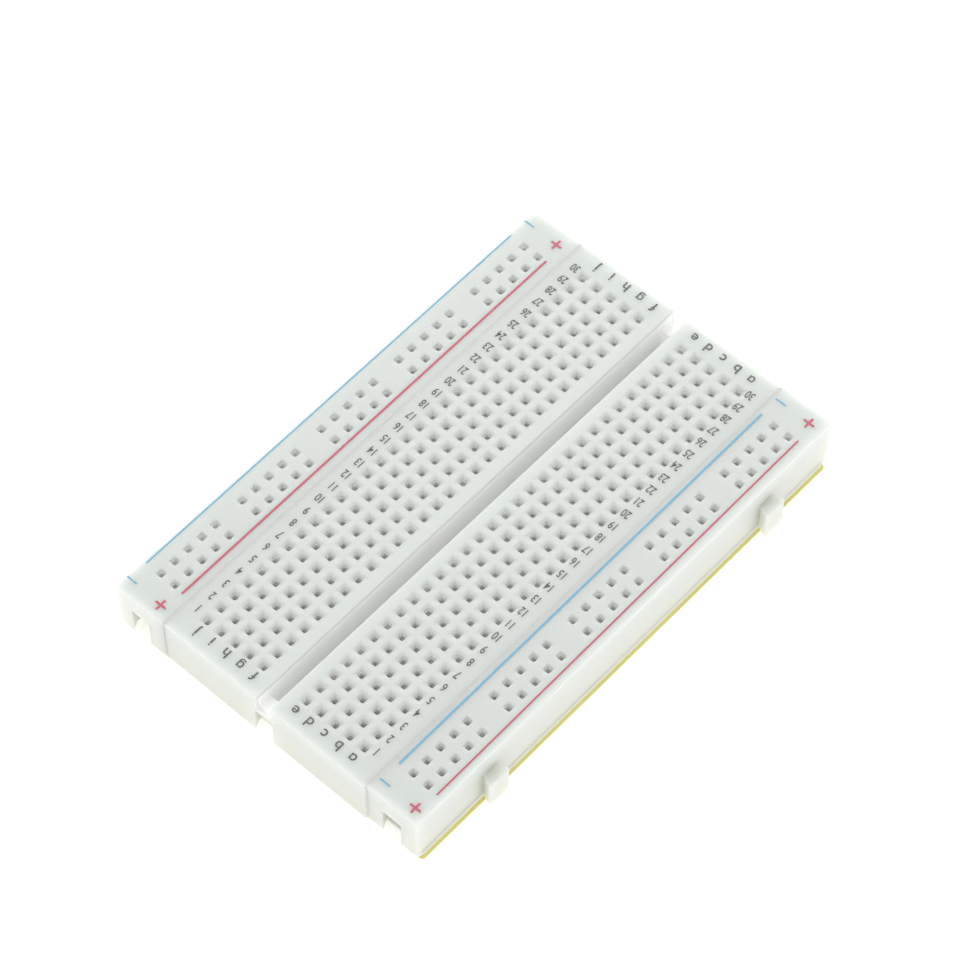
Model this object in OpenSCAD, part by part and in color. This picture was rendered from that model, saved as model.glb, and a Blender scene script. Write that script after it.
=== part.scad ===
// Solderless breadboard, half size, at rest on a table.
//
// Three moulded modules stand side by side: a terminal strip with a power rail on each
// long side. Each module has dovetail tabs on its -Y side and +X end, and matching
// notches, open at the bottom, on its +Y side and -X end, so a module slides up off
// the tabs of its neighbour. Spring clips stand in pockets under the square holes, and
// a foam pad with a peel-off liner closes the bottom of each module.
//
// Rows 1 to 30 run along +X, columns a to j along +Y. The origin is the middle of the
// bounding box's bottom face.

/* [Tie points] */
// Distance between neighbouring tie points
pitch = 2.54; // [2.5:0.01:2.6]
// Numbered rows of the terminal strip, a whole number of sixes
rows = 30; // [12:6:30]
// Side of a square tie-point hole
hole_w = 0.95; // [0.8:0.05:1.1]
// Width of the funnel at the mouth of a hole
funnel_w = 1.5; // [1.2:0.05:1.8]
// Depth of the funnel
funnel_h = 0.35; // [0.2:0.05:0.6]

/* [Modules] */
// Height of a moulded module, without its pad
body_h = 8.5; // [8:0.1:10]
// Thickness of the pierced top wall
top_wall = 1.5; // [1.2:0.1:2]
// Plastic beyond the numbered rows at each end
end_margin = 3.1; // [3:0.1:4]
// Width of the terminal strip across the columns
strip_w = 35.7; // [35:0.1:36.5]
// Width of a power rail
rail_w = 8.75; // [8.5:0.05:9.5]
// Gap between neighbouring modules
seam = 0.05; // [0.04:0.01:0.1]

/* [Centre channel] */
// Width of the channel between columns e and f
channel_w = 2.3; // [2:0.1:2.6]
// Depth of the channel
channel_deep = 6; // [4:0.1:6.5]
// Depth of the channel where it runs out through the ends
channel_end_deep = 2.4; // [2:0.1:2.6]
// Length of the shallow stretch at each end
channel_end_l = 2.6; // [2.4:0.1:3]

/* [Dovetails] */
// How far a tab stands out
tab_d = 1.85; // [1.4:0.05:1.9]
// Width of a tab where it leaves the wall
tab_neck_w = 2.4; // [2.2:0.1:2.8]
// Width of a tab at its outer face
tab_w = 3.7; // [3.4:0.1:4]
// Depth of the top of a tab below the top face
tab_top = 3.6; // [3.4:0.1:4]
// Distance of a side tab from the end of its module
tab_inset = 13.75; // [12:0.25:15]
// Clearance on each side of a tab in its notch
tab_gap = 0.4; // [0.35:0.05:0.45]

/* [Clips] */
// Thickness of the spring metal
clip_t = 0.2; // [0.15:0.05:0.25]
// Width of a clip across its two rows of tines
clip_w = 1.56; // [1.4:0.02:1.6]
// Height of a clip
clip_h = 6.3; // [5.8:0.1:6.4]
// Width of a slot between neighbouring tines
clip_slot = 0.7; // [0.5:0.05:0.9]
// Width of the pocket around a clip
pocket_w = 1.9; // [1.8:0.05:2]

/* [Backing] */
// Thickness of the adhesive foam pad
foam_t = 0.9; // [0.8:0.1:1.5]
// Thickness of the peel-off liner
liner_t = 0.12; // [0.1:0.02:0.2]
// How far the liner stands out along the -Y side of the near rail
liner_lip = 0.45; // [0.2:0.05:0.8]
// How far the backing stays back from the edge of a notch
backing_set_back = 0.5; // [0.3:0.1:0.8]

/* [Hidden] */
$fn = 32;
over = 0.5;                                   // how far a cutting tool runs past a face
column_y = [for (c = [0:4]) (c + 1.5) * pitch]; // columns f to j; e to a are their mirror
row_x = [for (r = [0:rows - 1]) (r - (rows - 1) / 2) * pitch];
// Along a rail, five tie points out of every six pitches.
rail_x = [for (i = [0:rows - 2]) if (i % 6 < 5) (i - (rows - 2) / 2) * pitch];
rail_row_y = [-pitch / 2, pitch / 2];

strip_l = rows * pitch + 2 * end_margin;      // length of the terminal strip
rail_l = strip_l - 0.1;                       // the rails are a hair shorter
rail_y = (strip_w + rail_w) / 2 + seam;       // rail centres, either side of the strip

// Modules slip a little along their dovetails: centre of each moulding along X,
// measured from the centre of the strip's tie points.
strip_x = 0.1;
far_x = -0.03;
near_x = 0.38;
rail_grid_x = -0.2;                           // tie points of a rail from its moulding's centre
rail_grid_y = -0.1;

// The bounding box decides where the tie-point grid lies about the origin.
box_x = [min(strip_x - strip_l / 2, far_x - rail_l / 2, near_x - rail_l / 2),
         max(strip_x + strip_l / 2, far_x + rail_l / 2, near_x + rail_l / 2) + tab_d];
box_y = [-rail_y - rail_w / 2 - tab_d, rail_y + rail_w / 2];
grid = [-(box_x[0] + box_x[1]) / 2, -(box_y[0] + box_y[1]) / 2];

foam_z = liner_t;
body_z = liner_t + foam_t;                    // underside of the mouldings
top_z = body_z + body_h;                      // top face
pocket_top = top_z - top_wall;
side_tab_x = strip_l / 2 - tab_inset;         // side tabs stand at plus and minus this
tab_flare = tab_d - 0.45;                     // depth over which a tab widens
notch_extra = 0.2;                            // a notch is deeper and taller than its tab
tine_w = pitch - clip_slot;
spine_h = 1.4;                                // slots between tines start at this height

white = [0.90, 0.92, 0.90];
metal = [0.78, 0.77, 0.73];
foam_white = [0.93, 0.93, 0.90];
liner_yellow = [0.90, 0.86, 0.42];

function two_digits(n) = str(n < 10 ? "0" : "", n);
clip_nodes = [for (r = [1:rows]) str("terminal_clips_row_", two_digits(r))];

// ---- shared shapes ----

// Puts its children at a module's centre, in the frame of the whole board.
module at_module(x, y) {
    translate([grid[0] + x, grid[1] + y, 0]) children();
}

// A square hole through the top wall with a funnel at its mouth.
module tie_hole() {
    translate([0, 0, top_z - top_wall / 2])
        cube([hole_w, hole_w, top_wall + over], center = true);
    intersection() {
        funnel_wedge();
        rotate([0, 0, 90]) funnel_wedge();
    }
}

// The funnel's slope in one direction: a trapezium drawn out along Y.
module funnel_wedge() {
    low = top_z - funnel_h;
    rotate([90, 0, 0])
        linear_extrude(funnel_w, center = true)
            polygon([[-hole_w / 2, low], [hole_w / 2, low],
                     [funnel_w / 2, top_z], [funnel_w / 2, top_z + over],
                     [-funnel_w / 2, top_z + over], [-funnel_w / 2, top_z]]);
}

// Dovetail outline, standing out along +X from the line X = 0. It widens from the neck
// to its full width over the distance flare, and its outer corners are bevelled.
module dovetail(neck, wide, deep, flare) {
    bevel = 0.35;
    polygon([[-over, -neck / 2], [0, -neck / 2], [flare, -wide / 2],
             [deep - bevel, -wide / 2], [deep, -wide / 2 + bevel],
             [deep, wide / 2 - bevel], [deep - bevel, wide / 2],
             [flare, wide / 2], [0, neck / 2], [-over, neck / 2]]);
}

// A tab pointing along +X, from the underside up to just below the notch's roof.
module tab() {
    translate([0, 0, body_z])
        linear_extrude(body_h - tab_top)
            dovetail(tab_neck_w, tab_w, tab_d, tab_flare);
}

// The cut for a tab that comes in along +X, open at the bottom, wider all round by grow.
module notch(grow) {
    gap = tab_gap + grow;
    translate([0, 0, -over])
        linear_extrude(top_z - tab_top + notch_extra + over)
            dovetail(tab_neck_w + 2 * gap, tab_w + 2 * gap, tab_d + notch_extra + grow,
                     tab_flare - notch_extra);
}

// Tabs on the -Y side and the +X end of a module of length l and width w.
module tabs(l, w) {
    for (x = [-side_tab_x, side_tab_x])
        translate([x, -w / 2, 0]) rotate([0, 0, -90]) tab();
    translate([l / 2, 0, 0]) tab();
}

// Notches on the +Y side and the -X end, wider all round by grow.
module notches(l, w, grow = 0) {
    for (x = [-side_tab_x, side_tab_x])
        translate([x, w / 2, 0]) rotate([0, 0, -90]) notch(grow);
    translate([-l / 2, 0, 0]) notch(grow);
}

// A plain moulding with its tabs, before anything is cut.
module moulding(l, w) {
    translate([-l / 2, -w / 2, body_z]) cube([l, w, body_h]);
    tabs(l, w);
}

// A clip's cross-section: a strip folded to a U whose legs pinch and then flare.
module clip_section() {
    legs = [[clip_w / 2, clip_t], [clip_w / 2, 2.2], [clip_t + 0.42, 3.6],
            [clip_t + 0.05, 4.8], [clip_t + 0.06, 5.1], [clip_w / 2 - 0.1, clip_h]];
    outer = concat([[clip_w / 2, 0]], legs);
    inner = [for (i = [len(legs) - 1:-1:0]) [legs[i][0] - clip_t, legs[i][1]]];
    half = concat(outer, inner);
    polygon(concat(half, [for (i = [len(half) - 1:-1:0]) [-half[i][0], half[i][1]]]));
}

// A spring clip along X with a pair of tines at each place in the list.
module spring_clip(places) {
    low = places[0] - tine_w / 2;
    high = places[len(places) - 1] + tine_w / 2;
    translate([0, 0, body_z])
        difference() {
            translate([low, 0, 0])
                rotate([90, 0, 90])
                    linear_extrude(high - low) clip_section();
            for (i = [0:len(places) - 2]) {
                from = places[i] + tine_w / 2;
                to = places[i + 1] - tine_w / 2;
                translate([from, -clip_w, spine_h]) cube([to - from, 2 * clip_w, clip_h]);
            }
        }
}

// The pocket under a line of tie points along X, open at the bottom.
module pocket(places) {
    margin = tine_w / 2 + 0.2;
    low = places[0] - margin;
    high = places[len(places) - 1] + margin;
    translate([low, -pocket_w / 2, body_z - over])
        cube([high - low, pocket_w, pocket_top - body_z + over]);
}

// ---- mouldings ----

module terminal_strip() {
    color(white)
        at_module(strip_x, 0)
            difference() {
                moulding(strip_l, strip_w);
                notches(strip_l, strip_w);
                translate([-strip_x, 0, 0]) strip_cuts();
                channel();
            }
}

// Holes and clip pockets of the terminal strip, about its tie-point grid.
module strip_cuts() {
    for (x = row_x) {
        for (side = [-1, 1]) {
            translate([x, 0, 0]) rotate([0, 0, side * 90]) pocket(column_y);
            for (y = column_y)
                translate([x, side * y, 0]) tie_hole();
        }
    }
}

// Deep between the rows' ends, shallow where it runs out through the end walls.
module channel() {
    deep_l = strip_l - 2 * channel_end_l;
    translate([-deep_l / 2, -channel_w / 2, top_z - channel_deep])
        cube([deep_l, channel_w, channel_deep + over]);
    translate([-strip_l / 2 - over, -channel_w / 2, top_z - channel_end_deep])
        cube([strip_l + 2 * over, channel_w, channel_end_deep + over]);
}

module power_rail() {
    difference() {
        moulding(rail_l, rail_w);
        notches(rail_l, rail_w);
        translate([rail_grid_x, rail_grid_y, 0]) rail_cuts();
    }
}

// Holes and the two long bus pockets of a power rail.
module rail_cuts() {
    for (y = rail_row_y) {
        translate([0, y, 0]) pocket(rail_x);
        for (x = rail_x)
            translate([x, y, 0]) tie_hole();
    }
}

module power_rail_far() {
    color(white) at_module(far_x, rail_y) power_rail();
}

module power_rail_near() {
    color(white) at_module(near_x, -rail_y) power_rail();
}

// ---- spring clips ----

// The two clips of one numbered row: a to e, and f to j.
module terminal_clips_row(r) {
    color(metal)
        at_module(row_x[r - 1], 0)
            for (side = [-90, 90])
                rotate([0, 0, side]) spring_clip(column_y);
}

// One bus clip under row_y of the rail whose moulding's centre is x, y.
module bus_clip(x, y, row_y) {
    color(metal)
        at_module(x + rail_grid_x, y + rail_grid_y + row_y) spring_clip(rail_x);
}

module bus_clip_far_minus() {
    bus_clip(far_x, rail_y, rail_row_y[1]);
}

module bus_clip_far_plus() {
    bus_clip(far_x, rail_y, rail_row_y[0]);
}

module bus_clip_near_minus() {
    bus_clip(near_x, -rail_y, rail_row_y[1]);
}

module bus_clip_near_plus() {
    bus_clip(near_x, -rail_y, rail_row_y[0]);
}

// ---- backing ----

// A sheet under a module, cut out around the notches so that tabs can pass.
module backing_sheet(l, w, z, t, lip) {
    end_gap = 0.5;
    side_gap = 0.05;
    difference() {
        translate([-l / 2 + end_gap, -w / 2 + side_gap - lip, z])
            cube([l - 3 * end_gap, w - 2 * side_gap + lip, t]);
        notches(l, w, backing_set_back);
    }
}

module foam_pad_strip() {
    color(foam_white) at_module(strip_x, 0) backing_sheet(strip_l, strip_w, foam_z, foam_t, 0);
}

module foam_pad_far() {
    color(foam_white) at_module(far_x, rail_y) backing_sheet(rail_l, rail_w, foam_z, foam_t, 0);
}

module foam_pad_near() {
    color(foam_white) at_module(near_x, -rail_y) backing_sheet(rail_l, rail_w, foam_z, foam_t, 0);
}

module liner_strip() {
    color(liner_yellow) at_module(strip_x, 0) backing_sheet(strip_l, strip_w, 0, liner_t, 0);
}

module liner_far() {
    color(liner_yellow) at_module(far_x, rail_y) backing_sheet(rail_l, rail_w, 0, liner_t, 0);
}

module liner_near() {
    color(liner_yellow)
        at_module(near_x, -rail_y) backing_sheet(rail_l, rail_w, 0, liner_t, liner_lip);
}

// ---- nodes ----

terminal_strip();
power_rail_far();
power_rail_near();
for (r = [1:rows])
    terminal_clips_row(r);
bus_clip_far_minus();
bus_clip_far_plus();
bus_clip_near_minus();
bus_clip_near_plus();
foam_pad_strip();
foam_pad_far();
foam_pad_near();
liner_strip();
liner_far();
liner_near();
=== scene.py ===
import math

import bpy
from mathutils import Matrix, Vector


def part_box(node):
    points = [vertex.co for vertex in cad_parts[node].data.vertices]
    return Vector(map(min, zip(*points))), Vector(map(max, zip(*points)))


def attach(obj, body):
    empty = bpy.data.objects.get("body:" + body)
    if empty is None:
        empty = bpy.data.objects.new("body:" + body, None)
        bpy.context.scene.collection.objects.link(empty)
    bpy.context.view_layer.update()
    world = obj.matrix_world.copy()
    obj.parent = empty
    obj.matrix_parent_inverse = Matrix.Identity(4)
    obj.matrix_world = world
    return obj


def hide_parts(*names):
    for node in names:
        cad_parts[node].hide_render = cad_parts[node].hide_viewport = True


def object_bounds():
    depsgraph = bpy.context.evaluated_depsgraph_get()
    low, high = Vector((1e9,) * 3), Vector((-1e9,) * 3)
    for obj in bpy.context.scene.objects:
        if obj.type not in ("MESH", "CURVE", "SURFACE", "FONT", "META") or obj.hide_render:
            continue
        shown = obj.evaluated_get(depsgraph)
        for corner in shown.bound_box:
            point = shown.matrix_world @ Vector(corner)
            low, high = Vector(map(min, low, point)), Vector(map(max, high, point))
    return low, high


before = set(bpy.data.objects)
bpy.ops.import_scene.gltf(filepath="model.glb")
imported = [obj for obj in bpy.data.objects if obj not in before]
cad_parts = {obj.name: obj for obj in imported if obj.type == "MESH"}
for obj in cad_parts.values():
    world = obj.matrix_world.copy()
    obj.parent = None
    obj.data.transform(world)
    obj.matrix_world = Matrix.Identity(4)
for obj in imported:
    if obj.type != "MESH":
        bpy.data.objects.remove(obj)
cad_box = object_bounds()

# Half-size solderless breadboard. Lengths are in metres. A terminal strip stands between
# two power rails; each moulding is built solid, given its dovetail tabs, and then cut out
# the way its mould forms it. Clips, foam pads, liners and print are pieces of their own.

MM = 0.001

# ---- sizes that the looks share with the frame ----

PITCH = 2.54 * MM
ROWS = 30
COLUMNS = 5                      # on each side of the centre channel
RAIL_ROWS = 2
RAIL_GROUPS = 5                  # groups of tie points along a rail
GROUP_HOLES = 5                  # in each row of a group
GROUP_PITCH = 6 * PITCH
RAIL_REACH = 14 * PITCH          # from the middle of a rail row to its last tie point
HOLE_W = 0.95 * MM
# Rise and new width of each slope of a funnel, from the shaft up.
STRIP_FUNNEL = ((0.16 * MM, 1.05 * MM), (0.09 * MM, 1.2 * MM), (0.07 * MM, 1.4 * MM),
                (0.05 * MM, 1.65 * MM), (0.03 * MM, 1.9 * MM), (0.015 * MM, 2.15 * MM))
RAIL_FUNNEL = ((0.14 * MM, 1.05 * MM), (0.07 * MM, 1.2 * MM), (0.04 * MM, 1.4 * MM))
TOP_WALL = 1.5 * MM              # from the printed top down to the pockets
POCKET_W = 1.9 * MM
POCKET_PLAY = 0.2 * MM           # past each end of a clip
TINE_W = 1.84 * MM
TAB_D = 1.85 * MM
TAB_NECK_W = 2.4 * MM
TAB_W = 3.7 * MM
TAB_FLARE = TAB_D - 0.45 * MM
TAB_TOP = 3.6 * MM
TAB_INSET = 13.75 * MM
TAB_GAP = 0.4 * MM
NOTCH_EXTRA = 0.2 * MM
BACKING_SET_BACK = 0.5 * MM       # of the foam and liner from the edge of a notch
CHANNEL_W = 2.3 * MM
CHANNEL_DEEP = 6.0 * MM
CHANNEL_END_DEEP = 2.4 * MM
CHANNEL_END_L = 2.6 * MM
INK_T = 0.02 * MM                # how far the print stands above the plastic
OVER = 0.5 * MM                  # how far a cutter runs past a face


def middle_of(node):
    """Middle of a node's box."""
    low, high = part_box(node)
    return (low + high) / 2


def moulding_box(node):
    """Corners of a moulding without its tabs, its top lowered to make room for the print."""
    low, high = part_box(node)
    low = low + Vector((0, TAB_D, 0))
    high = high - Vector((TAB_D, 0, INK_T))
    return low, high


row_x = [middle_of(f"terminal_clips_row_{r:02d}").x for r in range(1, ROWS + 1)]
grid_y = middle_of("terminal_clips_row_01").y
column_step = [(c + 1.5) * PITCH for c in range(COLUMNS)]
ink_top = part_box("terminal_strip")[1].z
top_z = ink_top - INK_T
pocket_top = ink_top - TOP_WALL
strip_low, strip_high = moulding_box("terminal_strip")
strip_x = (row_x[0] + row_x[-1]) / 2


# ---- bench tools ----

def make_active(obj):
    """Selects one object and nothing else."""
    bpy.ops.object.select_all(action="DESELECT")
    obj.select_set(True)
    bpy.context.view_layer.objects.active = obj


def block(name, low, high):
    """A cuboid between two corners, its place in its mesh."""
    low, high = Vector(low), Vector(high)
    bpy.ops.object.select_all(action="DESELECT")
    bpy.ops.mesh.primitive_cube_add(size=1, location=(low + high) / 2, scale=high - low)
    obj = bpy.context.object
    obj.name = name
    obj.data.name = name
    bpy.ops.object.transform_apply(location=True, rotation=True, scale=True)
    return obj


def edit_edges(obj, wanted):
    """Opens edit mode with the edges selected whose two ends a, b pass the test."""
    make_active(obj)
    bpy.ops.object.mode_set(mode="EDIT")
    bpy.ops.mesh.select_mode(type="EDGE")
    bpy.ops.mesh.select_all(action="DESELECT")
    bpy.ops.object.mode_set(mode="OBJECT")
    place = [v.co.copy() for v in obj.data.vertices]
    for edge in obj.data.edges:
        edge.select = wanted(place[edge.vertices[0]], place[edge.vertices[1]])
    bpy.ops.object.mode_set(mode="EDIT")


def edit_faces(obj, wanted):
    """Opens edit mode with the faces selected whose middle and normal pass the test."""
    make_active(obj)
    bpy.ops.object.mode_set(mode="EDIT")
    bpy.ops.mesh.select_mode(type="FACE")
    bpy.ops.mesh.select_all(action="DESELECT")
    bpy.ops.object.mode_set(mode="OBJECT")
    for face in obj.data.polygons:
        face.select = wanted(face.center, face.normal)
    bpy.ops.object.mode_set(mode="EDIT")


def bevel_edges(obj, wanted, width, segments):
    """Rounds the edges whose ends pass the test."""
    edit_edges(obj, wanted)
    bpy.ops.mesh.bevel(offset=width, segments=segments, profile=0.5, affect="EDGES")
    bpy.ops.object.mode_set(mode="OBJECT")


def round_rims(obj, radius_of, segments):
    """Rounds each edge by its own radius, given its two ends; 0 leaves an edge sharp."""
    make_active(obj)
    place = [v.co.copy() for v in obj.data.vertices]
    radii = [radius_of(place[e.vertices[0]], place[e.vertices[1]]) for e in obj.data.edges]
    widest = max(radii)
    weights = obj.data.attributes.new("bevel_weight_edge", "FLOAT", "EDGE")
    weights.data.foreach_set("value", [radius / widest for radius in radii])
    apply_modifier(obj, "BEVEL", width=widest, segments=segments, limit_method="WEIGHT")
    obj.data.attributes.remove(obj.data.attributes["bevel_weight_edge"])


def extrude_selected(step, widen=(1, 1, 1), about=(0, 0, 0)):
    """Draws the selected face out by step, then scales it about a point."""
    bpy.ops.mesh.extrude_region_move(TRANSFORM_OT_translate={"value": step})
    bpy.ops.transform.resize(value=widen, center_override=about)


def apply_modifier(obj, kind, **settings):
    """Adds a modifier, sets it and applies it."""
    make_active(obj)
    bpy.ops.object.modifier_add(type=kind)
    modifier = obj.modifiers[-1]
    for key, value in settings.items():
        setattr(modifier, key, value)
    bpy.ops.object.modifier_apply(modifier=modifier.name)


def repeat(obj, count, step):
    """Repeats a piece along a line."""
    apply_modifier(obj, "ARRAY", count=count, use_relative_offset=False,
                   use_constant_offset=True, constant_offset_displace=step)


def placed_copy(obj, place, turn=0.0, name=None):
    """A copy with its own mesh, turned about Z and then moved, its place in its mesh."""
    make_active(obj)
    bpy.ops.object.duplicate(linked=False)
    twin = bpy.context.object
    twin.rotation_euler.z = turn
    twin.location = place
    bpy.ops.object.transform_apply(location=True, rotation=True, scale=True)
    if name:
        twin.name = name
        twin.data.name = name
    return twin


def delete(obj):
    """Removes a cutter or a pattern that is no longer needed."""
    make_active(obj)
    bpy.ops.object.delete()


def join(pieces, name):
    """Makes one object of several."""
    make_active(pieces[0])
    for piece in pieces:
        piece.select_set(True)
    bpy.ops.object.join()
    whole = bpy.context.object
    whole.name = name
    whole.data.name = name
    return whole


def combine(obj, tool, operation):
    """Adds or cuts away a tool, which is used up, and clears slivers off the result."""
    apply_modifier(obj, "BOOLEAN", operation=operation, solver="EXACT", object=tool)
    delete(tool)
    make_active(obj)
    bpy.ops.object.mode_set(mode="EDIT")
    bpy.ops.mesh.select_all(action="SELECT")
    bpy.ops.mesh.dissolve_degenerate(threshold=0.002 * MM)
    bpy.ops.mesh.remove_doubles(threshold=0.001 * MM)
    bpy.ops.object.mode_set(mode="OBJECT")


def finish_mesh(obj, angle):
    """Merges doubles, turns the faces outwards and smooths them up to an angle."""
    make_active(obj)
    bpy.ops.object.mode_set(mode="EDIT")
    bpy.ops.mesh.select_all(action="SELECT")
    bpy.ops.mesh.remove_doubles(threshold=0.001 * MM)
    bpy.ops.mesh.normals_make_consistent(inside=False)
    bpy.ops.object.mode_set(mode="OBJECT")
    bpy.ops.object.shade_smooth_by_angle(angle=math.radians(angle))
    apply_modifier(obj, "WEIGHTED_NORMAL", keep_sharp=True)


# ---- mouldings ----

def rounded_block(name, low, high, seams):
    """A moulding's plain body with soft edges, crisper along its seams at the given Y."""
    foot, corner, seam_corner = 0.1 * MM, 0.45 * MM, 0.12 * MM
    rim, seam_rim = 0.26 * MM, 0.025 * MM

    def at_seam(a, b):
        return any(max(abs(a.y - y), abs(b.y - y)) < OVER for y in seams)

    def corner_radius(a, b):
        if abs(a.z - b.z) < OVER:
            return 0.0
        return seam_corner if at_seam(a, b) else corner

    def rim_radius(a, b):
        if max(a.z, b.z) < low.z + foot / 2:
            return foot
        if min(a.z, b.z) < high.z - foot / 2:
            return 0.0
        return seam_rim if at_seam(a, b) else rim

    body = block(name, low, high)
    round_rims(body, corner_radius, 5)
    round_rims(body, rim_radius, 4)
    return body


def dovetail(name, low_z, high_z, neck, wide, deep, flare):
    """A dovetail that points along +X from X = 0 and reaches back into the wall."""
    corner = 0.35 * MM
    tail = block(name, (-OVER, -neck / 2, low_z), (0, neck / 2, high_z))
    edit_faces(tail, lambda centre, normal: normal.x > 0.5)
    extrude_selected((flare, 0, 0), widen=(1, wide / neck, 1))
    extrude_selected((deep - flare, 0, 0))
    bpy.ops.object.mode_set(mode="OBJECT")
    outer = deep - 0.1 * MM
    bevel_edges(tail, lambda a, b: min(a.x, b.x) > outer and abs(a.z - b.z) > OVER, corner, 3)
    return tail


def dovetail_places(low, high):
    """Places and turns of the two side dovetails and the end one, on -Y and +X."""
    x, y = (low.x + high.x) / 2, (low.y + high.y) / 2
    # The inset is measured on the terminal strip, so it is the same on every module.
    reach = (strip_high.x - strip_low.x) / 2 - TAB_INSET
    side = [((x + s * reach, low.y, 0), -math.pi / 2) for s in (-1, 1)]
    return side + [((high.x, y, 0), 0.0)]


def make_tabs(low, high):
    """The three dovetail tabs of a module, their feet a hair above its underside."""
    foot, top, rim = low.z + 0.03 * MM, ink_top - TAB_TOP, 0.15 * MM
    tab = dovetail("tab", foot, top, TAB_NECK_W, TAB_W, TAB_D, TAB_FLARE)

    def rim_radius(a, b):
        return rim if min(a.z, b.z) > top - OVER / 5 and max(a.x, b.x) > 0 else 0.0

    round_rims(tab, rim_radius, 3)
    tabs = [placed_copy(tab, place, turn) for place, turn in dovetail_places(low, high)]
    delete(tab)
    return join(tabs, "tabs")


def make_notch_cutters(low, high, low_z, grow=0.0):
    """Cutters for the notches on the +Y side and the -X end, wider all round by grow."""
    gap = TAB_GAP + grow
    notch = dovetail("notch", low_z, ink_top - TAB_TOP + NOTCH_EXTRA,
                     TAB_NECK_W + 2 * gap, TAB_W + 2 * gap,
                     TAB_D + NOTCH_EXTRA + grow, TAB_FLARE - NOTCH_EXTRA)
    across = Vector((0, high.y - low.y, 0))
    along = Vector((high.x - low.x, 0, 0))
    side_1, side_2, end = dovetail_places(low, high)
    spots = [(Vector(side_1[0]) + across, side_1[1]), (Vector(side_2[0]) + across, side_2[1]),
             (Vector(end[0]) - along, end[1])]
    cutters = [placed_copy(notch, place, turn) for place, turn in spots]
    delete(notch)
    return join(cutters, "notch_cutters")


def tie_point_cutter(x, y, funnel):
    """The shape of one tie point: a square shaft that opens into a soft funnel."""
    half = HOLE_W / 2
    funnel_low = top_z - sum(rise for rise, wide in funnel)
    cutter = block("tie_point_cutter", (x - half, y - half, pocket_top - OVER),
                   (x + half, y + half, funnel_low))
    edit_faces(cutter, lambda centre, normal: normal.z > 0.5)
    width = HOLE_W
    for rise, wide in funnel:
        extrude_selected((0, 0, rise), widen=(wide / width, wide / width, 1), about=(x, y, 0))
        width = wide
    extrude_selected((0, 0, OVER))
    bpy.ops.object.mode_set(mode="OBJECT")
    shaft_top = funnel_low - 0.01 * MM
    # Round the funnel's four corners and leave the shaft square.
    bevel_edges(cutter, lambda a, b: min(a.z, b.z) > shaft_top and abs(a.z - b.z) > 0.01 * MM,
                0.2 * MM, 2)
    return cutter


def pocket_cutter(x, y, half_x, half_y, low_z):
    """The pocket that a clip stands in, open at the bottom, with a soft roof."""
    pocket = block("pocket", (x - half_x, y - half_y, low_z - OVER),
                   (x + half_x, y + half_y, pocket_top))
    bevel_edges(pocket, lambda a, b: min(a.z, b.z) > pocket_top - OVER / 5, 0.15 * MM, 1)
    return pocket


def strip_pockets(low_z):
    """Sixty pockets, one for each half row."""
    reach = (COLUMNS - 1) / 2 * PITCH + TINE_W / 2 + POCKET_PLAY
    from_channel = (column_step[0] + column_step[-1]) / 2
    halves = []
    for y in (grid_y - from_channel, grid_y + from_channel):
        halves.append(pocket_cutter(row_x[0], y, POCKET_W / 2, reach, low_z))
        repeat(halves[-1], ROWS, (PITCH, 0, 0))
    return join(halves, "strip_pockets")


def strip_tie_points():
    """Three hundred tie points, five columns on each side of the channel."""
    near = tie_point_cutter(row_x[0], grid_y - column_step[-1], STRIP_FUNNEL)
    repeat(near, ROWS, (PITCH, 0, 0))
    repeat(near, COLUMNS, (0, PITCH, 0))
    far = placed_copy(near, (0, column_step[0] + column_step[-1], 0))
    return join([near, far], "strip_tie_points")


def channel_floor_cutter(low, high):
    """The deep stretch of the centre channel, up to the shallow slot over it."""
    inset = Vector((CHANNEL_END_L, 0, 0))
    start, end = low + inset, high - inset
    return block("channel_floor", (start.x, grid_y - CHANNEL_W / 2, ink_top - CHANNEL_DEEP),
                 (end.x, grid_y + CHANNEL_W / 2, ink_top - CHANNEL_END_DEEP / 2))


def channel_slot_cutter(low, high):
    """The slot that runs out through both ends, with a soft flare along its top edges."""
    lip = 0.3 * MM
    wide = CHANNEL_W
    slot = block("channel_slot", (low.x - OVER, grid_y - wide / 2, ink_top - CHANNEL_END_DEEP),
                 (high.x + OVER, grid_y + wide / 2, top_z - lip))
    edit_faces(slot, lambda centre, normal: normal.z > 0.5)
    for rise, out in ((0.2 * MM, 0.08 * MM), (0.1 * MM, 0.25 * MM)):
        new_wide = CHANNEL_W + 2 * out
        extrude_selected((0, 0, rise), widen=(1, new_wide / wide, 1), about=(0, grid_y, 0))
        wide = new_wide
    extrude_selected((0, 0, OVER))
    bpy.ops.object.mode_set(mode="OBJECT")
    return slot


def make_terminal_strip():
    """The middle moulding, with thirty rows of ten tie points and the centre channel."""
    low, high = strip_low, strip_high
    strip = rounded_block("strip_moulding", low, high, (low.y, high.y))
    combine(strip, make_tabs(low, high), "UNION")
    combine(strip, make_notch_cutters(low, high, low.z - OVER), "DIFFERENCE")
    pockets = join([strip_pockets(low.z), channel_floor_cutter(low, high)], "underside")
    combine(strip, pockets, "DIFFERENCE")
    combine(strip, channel_slot_cutter(low, high), "DIFFERENCE")
    combine(strip, strip_tie_points(), "DIFFERENCE")
    finish_mesh(strip, 35)
    return strip


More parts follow.
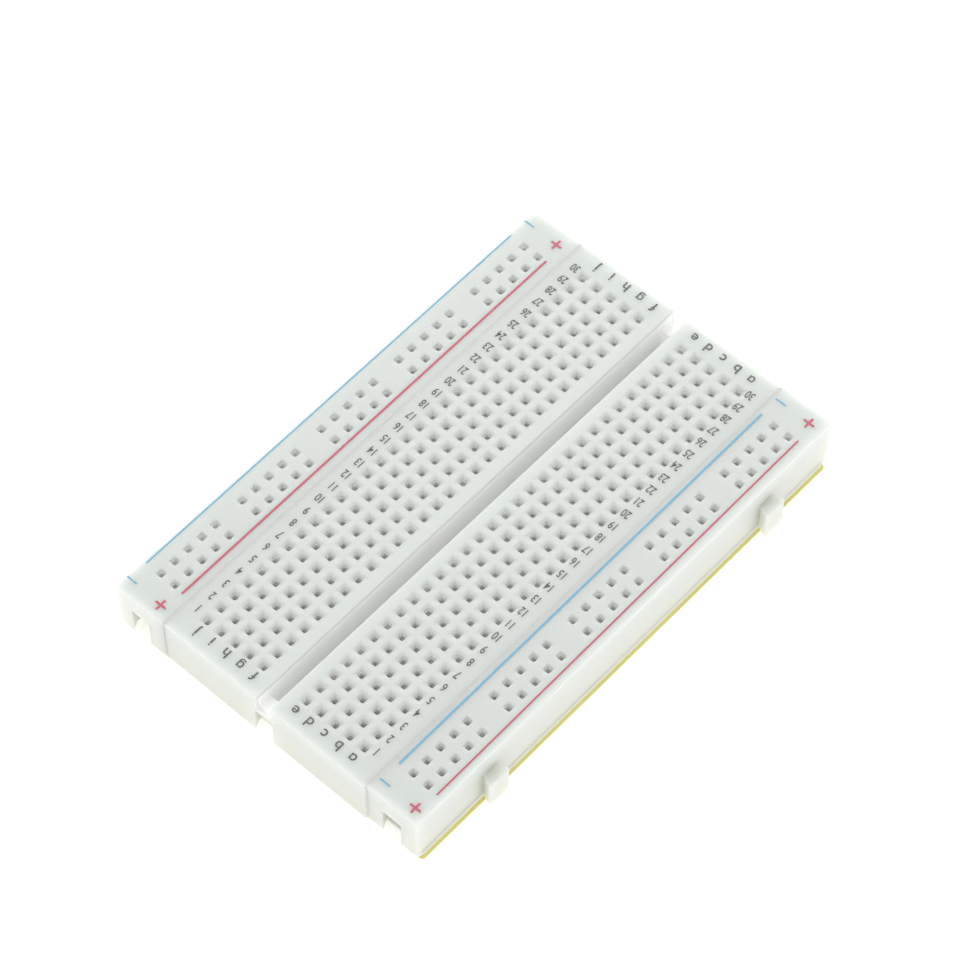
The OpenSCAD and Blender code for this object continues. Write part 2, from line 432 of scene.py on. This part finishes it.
def make_power_rail(side):
    """A rail moulding, with two bus rows of five groups of five tie points."""
    low, high = moulding_box(f"power_rail_{side}")
    seam = low.y if side == "far" else high.y
    rail = rounded_block(f"rail_moulding_{side}", low, high, (seam,))
    combine(rail, make_tabs(low, high), "UNION")
    combine(rail, make_notch_cutters(low, high, low.z - OVER), "DIFFERENCE")
    plus = middle_of(f"bus_clip_{side}_plus")
    minus = middle_of(f"bus_clip_{side}_minus")
    next_row = (0, minus.y - plus.y, 0)
    reach = RAIL_REACH + TINE_W / 2 + POCKET_PLAY
    pockets = pocket_cutter(plus.x, plus.y, reach, POCKET_W / 2, low.z)
    repeat(pockets, RAIL_ROWS, next_row)
    combine(rail, pockets, "DIFFERENCE")
    holes = tie_point_cutter(plus.x - RAIL_REACH, plus.y, RAIL_FUNNEL)
    repeat(holes, GROUP_HOLES, (PITCH, 0, 0))
    repeat(holes, RAIL_GROUPS, (GROUP_PITCH, 0, 0))
    repeat(holes, RAIL_ROWS, next_row)
    combine(rail, holes, "DIFFERENCE")
    finish_mesh(rail, 35)
    return rail


# ---- backing ----

def make_backing(name, stands_for, moulding, edge, segments):
    """A sheet under a module, cut out around the notches so that tabs can pass."""
    low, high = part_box(stands_for)
    corner = 0.6 * MM
    sheet = block(name, low, high)
    bevel_edges(sheet, lambda a, b: abs(a.z - b.z) > (high.z - low.z) / 2, corner, 3)
    bevel_edges(sheet, lambda a, b: min(a.z, b.z) > high.z - edge or max(a.z, b.z) < low.z + edge,
                edge, segments)
    cutters = make_notch_cutters(*moulding_box(moulding), low.z - OVER, BACKING_SET_BACK)
    combine(sheet, cutters, "DIFFERENCE")
    return sheet


# ---- print ----

def ink_solid(obj):
    """Gives flat print its thickness, from just inside the plastic up to the top."""
    make_active(obj)
    bpy.ops.object.mode_set(mode="EDIT")
    bpy.ops.mesh.select_all(action="SELECT")
    bpy.ops.mesh.extrude_region_move(TRANSFORM_OT_translate={"value": (0, 0, -2 * INK_T)})
    bpy.ops.mesh.select_all(action="SELECT")
    bpy.ops.mesh.remove_doubles(threshold=0.0005 * MM)
    bpy.ops.mesh.normals_make_consistent(inside=False)
    bpy.ops.object.mode_set(mode="OBJECT")


def printed_text(words, x, y, height, squeeze, bold):
    """Flat lettering whose baseline runs along +Y, centred on a place."""
    cap_height = 0.73                     # of a capital in the built-in font, at size 1
    bpy.ops.object.select_all(action="DESELECT")
    bpy.ops.object.text_add()
    text = bpy.context.object
    text.data.body = words
    text.data.size = 1
    text.data.resolution_u = 3
    text.data.offset = bold
    text.data.align_x = "CENTER"
    bpy.ops.object.convert(target="MESH")
    flat = bpy.context.object
    scale = height / cap_height
    flat.scale = (scale * squeeze, scale, 1)
    flat.rotation_euler.z = math.pi / 2
    flat.location = (x + height / 2, y, ink_top)
    bpy.ops.object.transform_apply(location=True, rotation=True, scale=True)
    return flat


def make_row_numbers():
    """Row numbers 1 to 30 beside columns a and j; the ones beside j drift off a little."""
    shift_x, near_y, far_y, drift = 0.45 * MM, -15.6 * MM, 16.1 * MM, -0.01 * MM
    height, squeeze, bold = 1.35 * MM, 0.7, 0.008
    marks = []
    for r, x in enumerate(row_x, 1):
        for y in (near_y, far_y + r * drift):
            marks.append(printed_text(str(r), x + shift_x, grid_y + y, height, squeeze, bold))
    return marks


def make_column_letters():
    """Column letters a to j at both ends of the strip."""
    # Where a to e and f to j stand at each end, from the middle of the rows and channel.
    ends = [((-39.02, 0.1), (-38.85, -0.14)), ((39.4, -0.04), (39.54, -0.31))]
    letters = "\u0251bcdef\u0261hij"           # a and g with one storey, from a taller font
    height, taller, squeeze, bold = 1.57 * MM, 0.82, 1.05, 0.01
    tail_rise = 0.35 * MM                      # keeps the tail of the j off the edge
    steps = [-s for s in reversed(column_step)] + column_step
    marks = []
    for near_shift, far_shift in ends:
        for letter, step in zip(letters, steps):
            x, y = near_shift if step < 0 else far_shift
            tall = height * (1.0 if letter.isascii() else taller)
            rise = tail_rise if letter == "j" else 0.0
            marks.append(printed_text(letter, strip_x + x * MM - rise,
                                      grid_y + step + y * MM, tall, squeeze, bold))
    return marks


def bar(name, x, y, length, width, turn=0.0):
    """A printed bar with softly rounded corners, its length turned from the X axis."""
    half = Vector((length / 2, width / 2, 0))
    strip = block(name, -half, half + Vector((0, 0, 2 * INK_T)))
    bevel_edges(strip, lambda a, b: abs(a.z - b.z) > INK_T, 0.3 * width, 3)
    placed = placed_copy(strip, (x, y, top_z - INK_T), turn, name)
    delete(strip)
    return placed


# ---- materials ----

def srgb(red, green, blue):
    """Linear colour from 0 to 255 display values."""
    def channel(v):
        v = v / 255
        return v / 12.92 if v <= 0.04045 else ((v + 0.055) / 1.055) ** 2.4
    return (channel(red), channel(green), channel(blue), 1.0)


def node(tree, kind, **settings):
    """Adds a shader node and sets its properties."""
    made = tree.nodes.new(kind)
    for key, value in settings.items():
        setattr(made, key, value)
    return made


def new_group(name, inputs, outputs):
    """An empty shader node group with named sockets, and its two end nodes."""
    group = bpy.data.node_groups.new(name, "ShaderNodeTree")
    for label, kind, default in inputs:
        socket = group.interface.new_socket(label, in_out="INPUT", socket_type=kind)
        if default is not None:
            socket.default_value = default
    for label, kind in outputs:
        group.interface.new_socket(label, in_out="OUTPUT", socket_type=kind)
    return group, node(group, "NodeGroupInput"), node(group, "NodeGroupOutput")


def make_grain_group():
    """Fine surface relief and slow mottling of a finish."""
    group, given, result = new_group(
        "Surface Grain",
        [("Vector", "NodeSocketVector", None), ("Grain Scale", "NodeSocketFloat", 6000.0),
         ("Mottle Scale", "NodeSocketFloat", 160.0)],
        [("Height", "NodeSocketFloat"), ("Mottle", "NodeSocketFloat")])
    grain = node(group, "ShaderNodeTexNoise")
    grain.inputs["Detail"].default_value = 3.0
    mottle = node(group, "ShaderNodeTexNoise")
    mottle.inputs["Detail"].default_value = 2.0
    link = group.links.new
    link(given.outputs["Vector"], grain.inputs["Vector"])
    link(given.outputs["Grain Scale"], grain.inputs["Scale"])
    link(given.outputs["Vector"], mottle.inputs["Vector"])
    link(given.outputs["Mottle Scale"], mottle.inputs["Scale"])
    link(grain.outputs["Fac"], result.inputs["Height"])
    link(mottle.outputs["Fac"], result.inputs["Mottle"])
    return group


def make_zone_group():
    """A mask that is 1 inside an upright prism and fades out over a soft border."""
    group, given, result = new_group(
        "Zone Mask",
        [("Vector", "NodeSocketVector", None), ("Centre", "NodeSocketVector", (0, 0, 0)),
         ("Half Size", "NodeSocketVector", (1, 1, 1)), ("Softness", "NodeSocketFloat", 0.001)],
        [("Mask", "NodeSocketFloat")])
    link = group.links.new
    offset = node(group, "ShaderNodeVectorMath", operation="SUBTRACT")
    link(given.outputs["Vector"], offset.inputs[0])
    link(given.outputs["Centre"], offset.inputs[1])
    away = node(group, "ShaderNodeVectorMath", operation="ABSOLUTE")
    link(offset.outputs[0], away.inputs[0])
    inside = node(group, "ShaderNodeVectorMath", operation="SUBTRACT")
    link(given.outputs["Half Size"], inside.inputs[0])
    link(away.outputs[0], inside.inputs[1])
    axes = node(group, "ShaderNodeSeparateXYZ")
    link(inside.outputs[0], axes.inputs[0])
    nearest = node(group, "ShaderNodeMath", operation="MINIMUM")
    link(axes.outputs["X"], nearest.inputs[0])
    link(axes.outputs["Y"], nearest.inputs[1])
    fade = node(group, "ShaderNodeMapRange", interpolation_type="SMOOTHSTEP")
    link(nearest.outputs[0], fade.inputs["Value"])
    fade.inputs["From Min"].default_value = 0.0
    link(given.outputs["Softness"], fade.inputs["From Max"])
    link(fade.outputs["Result"], result.inputs["Mask"])
    return group


def start_material(name):
    """A material, its node tree, its shader and its object coordinates."""
    material = bpy.data.materials.new(name)
    material.use_nodes = True
    tree = material.node_tree
    shader = tree.nodes["Principled BSDF"]
    place = node(tree, "ShaderNodeTexCoord").outputs["Object"]
    return material, tree, shader, place


def use_group(tree, group, place, **values):
    """Places a shared effect in a material with its own values."""
    used = node(tree, "ShaderNodeGroup", node_tree=group)
    tree.links.new(place, used.inputs["Vector"])
    for label, value in values.items():
        used.inputs[label.replace("_", " ")].default_value = value
    return used


def mix_colours(tree, mask, low, high):
    """A colour that goes from low to high with a mask; each is a colour or a socket."""
    mix = node(tree, "ShaderNodeMix", data_type="RGBA")
    tree.links.new(mask, mix.inputs["Factor"])
    for colour, socket in ((low, mix.inputs[6]), (high, mix.inputs[7])):
        if isinstance(colour, tuple):
            socket.default_value = colour
        else:
            tree.links.new(colour, socket)
    return mix.outputs[2]


def map_value(tree, value, low, high):
    """A value from 0 to 1 stretched to run from low to high."""
    stretch = node(tree, "ShaderNodeMapRange")
    tree.links.new(value, stretch.inputs["Value"])
    stretch.inputs["To Min"].default_value = low
    stretch.inputs["To Max"].default_value = high
    return stretch.outputs["Result"]


def calculate(tree, operation, *values):
    """The result of a sum; each value is a number or a socket."""
    step = node(tree, "ShaderNodeMath", operation=operation)
    for value, socket in zip(values, step.inputs):
        if isinstance(value, float):
            socket.default_value = value
        else:
            tree.links.new(value, socket)
    return step.outputs[0]


def multiply(tree, first, second):
    """Two values multiplied."""
    return calculate(tree, "MULTIPLY", first, second)


def add_bump(tree, shader, height, strength, distance):
    """Relief from a height."""
    bump = node(tree, "ShaderNodeBump")
    bump.inputs["Strength"].default_value = strength
    bump.inputs["Distance"].default_value = distance
    tree.links.new(height, bump.inputs["Height"])
    tree.links.new(bump.outputs["Normal"], shader.inputs["Normal"])


def depth_mask(tree, place, start, end):
    """A mask that goes from 0 at one height to 1 at a lower one."""
    axes = node(tree, "ShaderNodeSeparateXYZ")
    tree.links.new(place, axes.inputs[0])
    fade = node(tree, "ShaderNodeMapRange", interpolation_type="SMOOTHSTEP")
    tree.links.new(axes.outputs["Z"], fade.inputs["Value"])
    fade.inputs["From Min"].default_value = start
    fade.inputs["From Max"].default_value = end
    return fade.outputs["Result"]


def white_plastic(name, painted_light_zones):
    """Translucent white ABS, painted lighter and warmer below its top face and lighter still
    towards
    the bottom: painted light for how its walls are lit. Its inner walls are painted paler and
    glow faintly: painted light that stands in for the light the plastic carries inside it."""
    material, tree, shader, place = start_material(name)
    grain = use_group(tree, grain_group, place, Grain_Scale=9000.0, Mottle_Scale=140.0)
    colour = mix_colours(tree, grain.outputs["Mottle"], srgb(210, 215, 211), srgb(214, 219, 215))
    # Painted light: below the top face the plastic is painted lighter and warmer, for the light its
    # walls catch.
    side = depth_mask(tree, place, top_z - 0.1 * MM, top_z - 0.6 * MM)
    colour = mix_colours(tree, side, colour, srgb(221, 224, 218))
    # Painted light: lighter and warmer again towards the bottom, where the floor lights the walls.
    down = depth_mask(tree, place, top_z - 2 * MM, top_z - 8 * MM)
    colour = mix_colours(tree, down, colour, srgb(227, 229, 217))
    # Painted light: in each zone the walls of holes, pockets, channel or seam are painted paler and
    # glow faintly.
    painted_light = None
    for zone in painted_light_zones:
        mask = use_group(tree, zone_group, place, Centre=zone["centre"],
                         Half_Size=zone["half_size"], Softness=zone["softness"])
        below = depth_mask(tree, place, zone["top"], zone["bottom"])
        inside = multiply(tree, multiply(tree, mask.outputs["Mask"], below), zone["amount"])
        painted_light = calculate(tree, "MAXIMUM", painted_light, inside) if painted_light else inside
    glow = 0.06
    colour = mix_colours(tree, painted_light, colour, srgb(253, 254, 252))
    tree.links.new(colour, shader.inputs["Base Color"])
    tree.links.new(multiply(tree, painted_light, glow), shader.inputs["Emission Strength"])
    shader.inputs["Emission Color"].default_value = srgb(250, 252, 248)
    tree.links.new(map_value(tree, grain.outputs["Mottle"], 0.36, 0.5), shader.inputs["Roughness"])
    add_bump(tree, shader, grain.outputs["Height"], 0.25, 0.01 * MM)
    shader.inputs["Subsurface Weight"].default_value = 1.0
    shader.inputs["Subsurface Radius"].default_value = (1.0, 1.0, 0.95)
    shader.inputs["Subsurface Scale"].default_value = 3.0 * MM
    shader.inputs["IOR"].default_value = 1.5
    return material


def spring_metal():
    """Nickel-plated phosphor bronze with a fine rolled grain."""
    material, tree, shader, place = start_material("nickel_plated_spring")
    rolled = node(tree, "ShaderNodeMapping")
    rolled.inputs["Scale"].default_value = (1.0, 1.0, 0.06)
    tree.links.new(place, rolled.inputs["Vector"])
    grain = use_group(tree, grain_group, rolled.outputs["Vector"], Grain_Scale=12000.0,
                      Mottle_Scale=900.0)
    colour = mix_colours(tree, grain.outputs["Mottle"], srgb(212, 210, 202), srgb(236, 234, 227))
    tree.links.new(colour, shader.inputs["Base Color"])
    tree.links.new(map_value(tree, grain.outputs["Height"], 0.24, 0.42), shader.inputs["Roughness"])
    add_bump(tree, shader, grain.outputs["Height"], 0.2, 0.004 * MM)
    shader.inputs["Metallic"].default_value = 1.0
    return material


def foam():
    """Closed-cell foam tape, cream, with small pores."""
    material, tree, shader, place = start_material("foam_tape")
    cells = node(tree, "ShaderNodeTexVoronoi", feature="SMOOTH_F1")
    cells.inputs["Scale"].default_value = 5200.0
    tree.links.new(place, cells.inputs["Vector"])
    grain = use_group(tree, grain_group, place, Grain_Scale=7000.0, Mottle_Scale=500.0)
    cell_colour = mix_colours(tree, cells.outputs["Distance"], srgb(252, 250, 236),
                              srgb(244, 241, 220))
    colour = mix_colours(tree, map_value(tree, grain.outputs["Mottle"], 0.0, 0.3),
                         cell_colour, srgb(253, 252, 242))
    tree.links.new(colour, shader.inputs["Base Color"])
    add_bump(tree, shader, cells.outputs["Distance"], 0.6, 0.05 * MM)
    shader.inputs["Roughness"].default_value = 0.9
    return material


def waxed_paper():
    """Yellow waxed release paper with faint fibres."""
    material, tree, shader, place = start_material("waxed_liner_paper")
    drawn = node(tree, "ShaderNodeMapping")
    drawn.inputs["Scale"].default_value = (0.12, 1.0, 1.0)
    tree.links.new(place, drawn.inputs["Vector"])
    fibres = use_group(tree, grain_group, drawn.outputs["Vector"], Grain_Scale=2600.0,
                       Mottle_Scale=260.0)
    colour = mix_colours(tree, fibres.outputs["Mottle"], srgb(234, 230, 140), srgb(242, 238, 162))
    tree.links.new(colour, shader.inputs["Base Color"])
    tree.links.new(map_value(tree, fibres.outputs["Height"], 0.3, 0.5), shader.inputs["Roughness"])
    add_bump(tree, shader, fibres.outputs["Height"], 0.3, 0.01 * MM)
    shader.inputs["Coat Weight"].default_value = 0.2
    return material


def ink(name, thin, full):
    """Pad-printed ink: a slightly uneven coat."""
    material, tree, shader, place = start_material(name)
    grain = use_group(tree, grain_group, place, Grain_Scale=9000.0, Mottle_Scale=2600.0)
    colour = mix_colours(tree, grain.outputs["Mottle"], thin, full)
    tree.links.new(colour, shader.inputs["Base Color"])
    tree.links.new(map_value(tree, grain.outputs["Height"], 0.4, 0.6), shader.inputs["Roughness"])
    return material


def paint(obj, material):
    """Gives an object one material."""
    obj.data.materials.clear()
    obj.data.materials.append(material)


grain_group = make_grain_group()
zone_group = make_zone_group()


# ---- the board ----

def hand_in(piece, material, body, slot, *replaced):
    """Paints a finished piece, puts it on its body and hides the parts that it stands for."""
    paint(piece, material)
    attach(piece, body)
    if replaced:
        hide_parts(*replaced)


MODULES = {
    "strip": {"node": "terminal_strip", "body": "strip"},
    "far": {"node": "power_rail_far", "body": "far_rail"},
    "near": {"node": "power_rail_near", "body": "near_rail"},
}


def inner_zone(low_x, high_x, low_y, high_y, top, bottom, softness, amount):
    """A stretch of the board whose walls get painted light, a paler colour and a faint glow, from
    one height down to another.
    """
    centre = ((low_x + high_x) / 2, (low_y + high_y) / 2, 0)
    half_size = ((high_x - low_x) / 2, (high_y - low_y) / 2, 0)
    return {"centre": centre, "half_size": half_size, "top": top, "bottom": bottom,
            "softness": softness, "amount": amount}


def make_inner_zones():
    """Where painted light goes: holes and pockets of each half and rail, the channel and its ends,
    and the two seams.
    """
    low, high = cad_box
    notch_inset, side_inset, seam_inset = 2.4 * MM, 0.6 * MM, 0.5 * MM
    half_channel, half_seam, end_reach = 1.7 * MM, 0.1 * MM, 7 * MM
    soft, seam_soft, end_inset = 0.3 * MM, 0.05 * MM, 0.3 * MM
    full, middle, near_end = 1.0, 0.76, 0.9           # how much painted light: the channel is in between
    depths = (top_z - 0.35 * MM, top_z - 0.9 * MM)
    seam_depths = (top_z - 0.005 * MM, top_z - 0.05 * MM)

    block_x = (low.x + notch_inset, high.x - TAB_D - notch_inset)
    block_y = ((low.y + TAB_D + side_inset, strip_low.y - seam_inset),
               (strip_low.y + seam_inset, grid_y - half_channel),
               (grid_y + half_channel, strip_high.y - seam_inset),
               (strip_high.y + seam_inset, high.y - side_inset))
    zones = [inner_zone(*block_x, *y, *depths, soft, full) for y in block_y]

    start, end = strip_low.x + end_inset, strip_high.x - end_inset
    channel_y = (grid_y - half_channel, grid_y + half_channel)
    for x, amount in (((start, end), middle), ((start, start + end_reach), near_end),
                      ((end - end_reach, end), near_end)):
        zones.append(inner_zone(*x, *channel_y, *depths, soft, amount))
    for y in (strip_low.y, strip_high.y):
        zones.append(inner_zone(start, end, y - half_seam, y + half_seam, *seam_depths,
                                seam_soft, full))
    return zones


plastic = white_plastic("white_abs", make_inner_zones())

hand_in(make_terminal_strip(), plastic, "strip", "white_plastic", "terminal_strip")
for side in ("far", "near"):
    hand_in(make_power_rail(side), plastic, f"{side}_rail", "white_plastic", f"power_rail_{side}")

metal = spring_metal()
for name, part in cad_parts.items():
    if "clip" in name:
        paint(part, metal)

foam_material = foam()
liner_material = waxed_paper()
for part, module in MODULES.items():
    pad = make_backing(f"foam_tape_{part}", f"foam_pad_{part}", module["node"], 0.08 * MM, 2)
    finish_mesh(pad, 35)
    hand_in(pad, foam_material, module["body"], "foam", f"foam_pad_{part}")
    liner = make_backing(f"liner_paper_{part}", f"liner_{part}", module["node"], 0.03 * MM, 1)
    finish_mesh(liner, 35)
    hand_in(liner, liner_material, module["body"], "liner", f"liner_{part}")

dark_ink = ink("dark_ink", srgb(124, 125, 124), srgb(99, 100, 99))
red_ink = ink("red_ink", srgb(206, 98, 120), srgb(192, 76, 100))
blue_ink = ink("blue_ink", srgb(114, 185, 217), srgb(90, 168, 205))

numbers = join(make_row_numbers(), "row_numbers")
ink_solid(numbers)
hand_in(numbers, dark_ink, "strip", "print_dark")
letters = join(make_column_letters(), "column_letters")
ink_solid(letters)
hand_in(letters, dark_ink, "strip", "print_dark")

RAIL_PRINT = {
    # Ends, offset across the rail, width and drift of each line, and the places of the
    # signs, from the middle of the strip's tie points, in mm. The print is never quite true.
    "far": {"blue": {"ends": (-36.04, 35.56), "y": 3.84, "width": 0.215, "drift": 0.0016},
            "red": {"ends": (-36.24, 35.56), "y": -2.80, "width": 0.32, "drift": 0.0047},
            "plus": ((-39.29, 20.06), (38.56, 20.39)), "minus": ((-39.11, 25.49), (38.72, 25.49))},
    "near": {"blue": {"ends": (-35.64, 36.16), "y": 3.585, "width": 0.275, "drift": 0.0023},
             "red": {"ends": (-35.74, 36.16), "y": -2.88, "width": 0.25, "drift": 0.0054},
             "plus": ((-38.88, -24.70), (39.26, -24.31)),
             "minus": ((-38.79, -19.41), (39.32, -19.36))},
}
MINUS_W, PLUS_W, SIGN_L = 0.21 * MM, 0.33 * MM, 1.8 * MM


def rail_line(name, marks, mid_y):
    """A printed line along a rail."""
    start, end = (strip_x + value * MM for value in marks["ends"])
    return bar(name, (start + end) / 2, mid_y + marks["y"] * MM, end - start,
               marks["width"] * MM, marks["drift"])


for side, marks in RAIL_PRINT.items():
    mid_y = (middle_of(f"bus_clip_{side}_plus").y + middle_of(f"bus_clip_{side}_minus").y) / 2
    blue = [rail_line("blue_line", marks["blue"], mid_y)]
    for x, y in marks["minus"]:
        blue.append(bar("minus", strip_x + x * MM, grid_y + y * MM, SIGN_L, MINUS_W, math.pi / 2))
    hand_in(join(blue, f"blue_print_{side}"), blue_ink, f"{side}_rail", "print_blue")
    red = [rail_line("red_line", marks["red"], mid_y)]
    for x, y in marks["plus"]:
        x, y = strip_x + x * MM, grid_y + y * MM
        upright = bar("plus", x, y, SIGN_L, PLUS_W, math.pi / 2)
        combine(upright, bar("plus", x, y, SIGN_L, PLUS_W), "UNION")
        red.append(upright)
    hand_in(join(red, f"red_print_{side}"), red_ink, f"{side}_rail", "print_red")


# ---- studio ----

def make_floor():
    """A wide white floor."""
    bpy.ops.object.select_all(action="DESELECT")
    bpy.ops.mesh.primitive_plane_add(size=6)
    floor = bpy.context.object
    floor.name = "floor"
    material, tree, shader, place = start_material("floor_white")
    shader.inputs["Base Color"].default_value = (0.95, 0.95, 0.95, 1)
    shader.inputs["Roughness"].default_value = 1.0
    shader.inputs["Specular IOR Level"].default_value = 0.0
    shader.inputs["Emission Color"].default_value = (1, 1, 1, 1)
    low, high = cad_box
    inset = Vector((2 * MM, 2 * MM, 0))
    centre, half_size = (low + high) / 2, (high - low) / 2 - inset
    covered = use_group(tree, zone_group, place, Centre=centre, Half_Size=half_size,
                        Softness=0.5 * MM)
    glow = map_value(tree, covered.outputs["Mask"], 0.42, 0.0)
    tree.links.new(glow, shader.inputs["Emission Strength"])
    paint(floor, material)


def make_camera():
    """A long lens that looks down at the near corner."""
    heading, elevation = math.radians(47.78), math.radians(57.38)
    distance = 0.5224
    aim = Vector((strip_x + 2.925 * MM, grid_y + 2.25 * MM, ink_top))
    gaze = Vector((math.sin(heading) * math.cos(elevation),
                   math.cos(heading) * math.cos(elevation), -math.sin(elevation)))
    data = bpy.data.cameras.new("camera")
    data.sensor_width = 36
    data.lens = 147.53
    data.clip_start = 0.01
    camera = bpy.data.objects.new("camera", data)
    camera.location = aim - gaze * distance
    camera.rotation_euler = gaze.to_track_quat("-Z", "Y").to_euler()
    bpy.context.scene.collection.objects.link(camera)
    bpy.context.scene.camera = camera


def soft_box(name, place, size, watts):
    """A square soft box that faces the board."""
    data = bpy.data.lights.new(name, "AREA")
    data.shape = "SQUARE"
    data.size = size
    data.energy = watts
    lamp = bpy.data.objects.new(name, data)
    lamp.location = place
    lamp.rotation_euler = (-Vector(place)).to_track_quat("-Z", "Y").to_euler()
    bpy.context.scene.collection.objects.link(lamp)


def make_light():
    """An even white surround and one soft box behind the board."""
    world = bpy.data.worlds.new("white_surround")
    bpy.context.scene.world = world
    world.use_nodes = True
    background = world.node_tree.nodes["Background"]
    background.inputs["Color"].default_value = (1, 1, 1, 1)
    background.inputs["Strength"].default_value = 0.78
    soft_box("back_left", (0.62, 0.56, 1.0), 0.6, 6.0)
    bpy.context.scene.view_settings.view_transform = "Standard"


make_floor()
make_camera()
make_light()
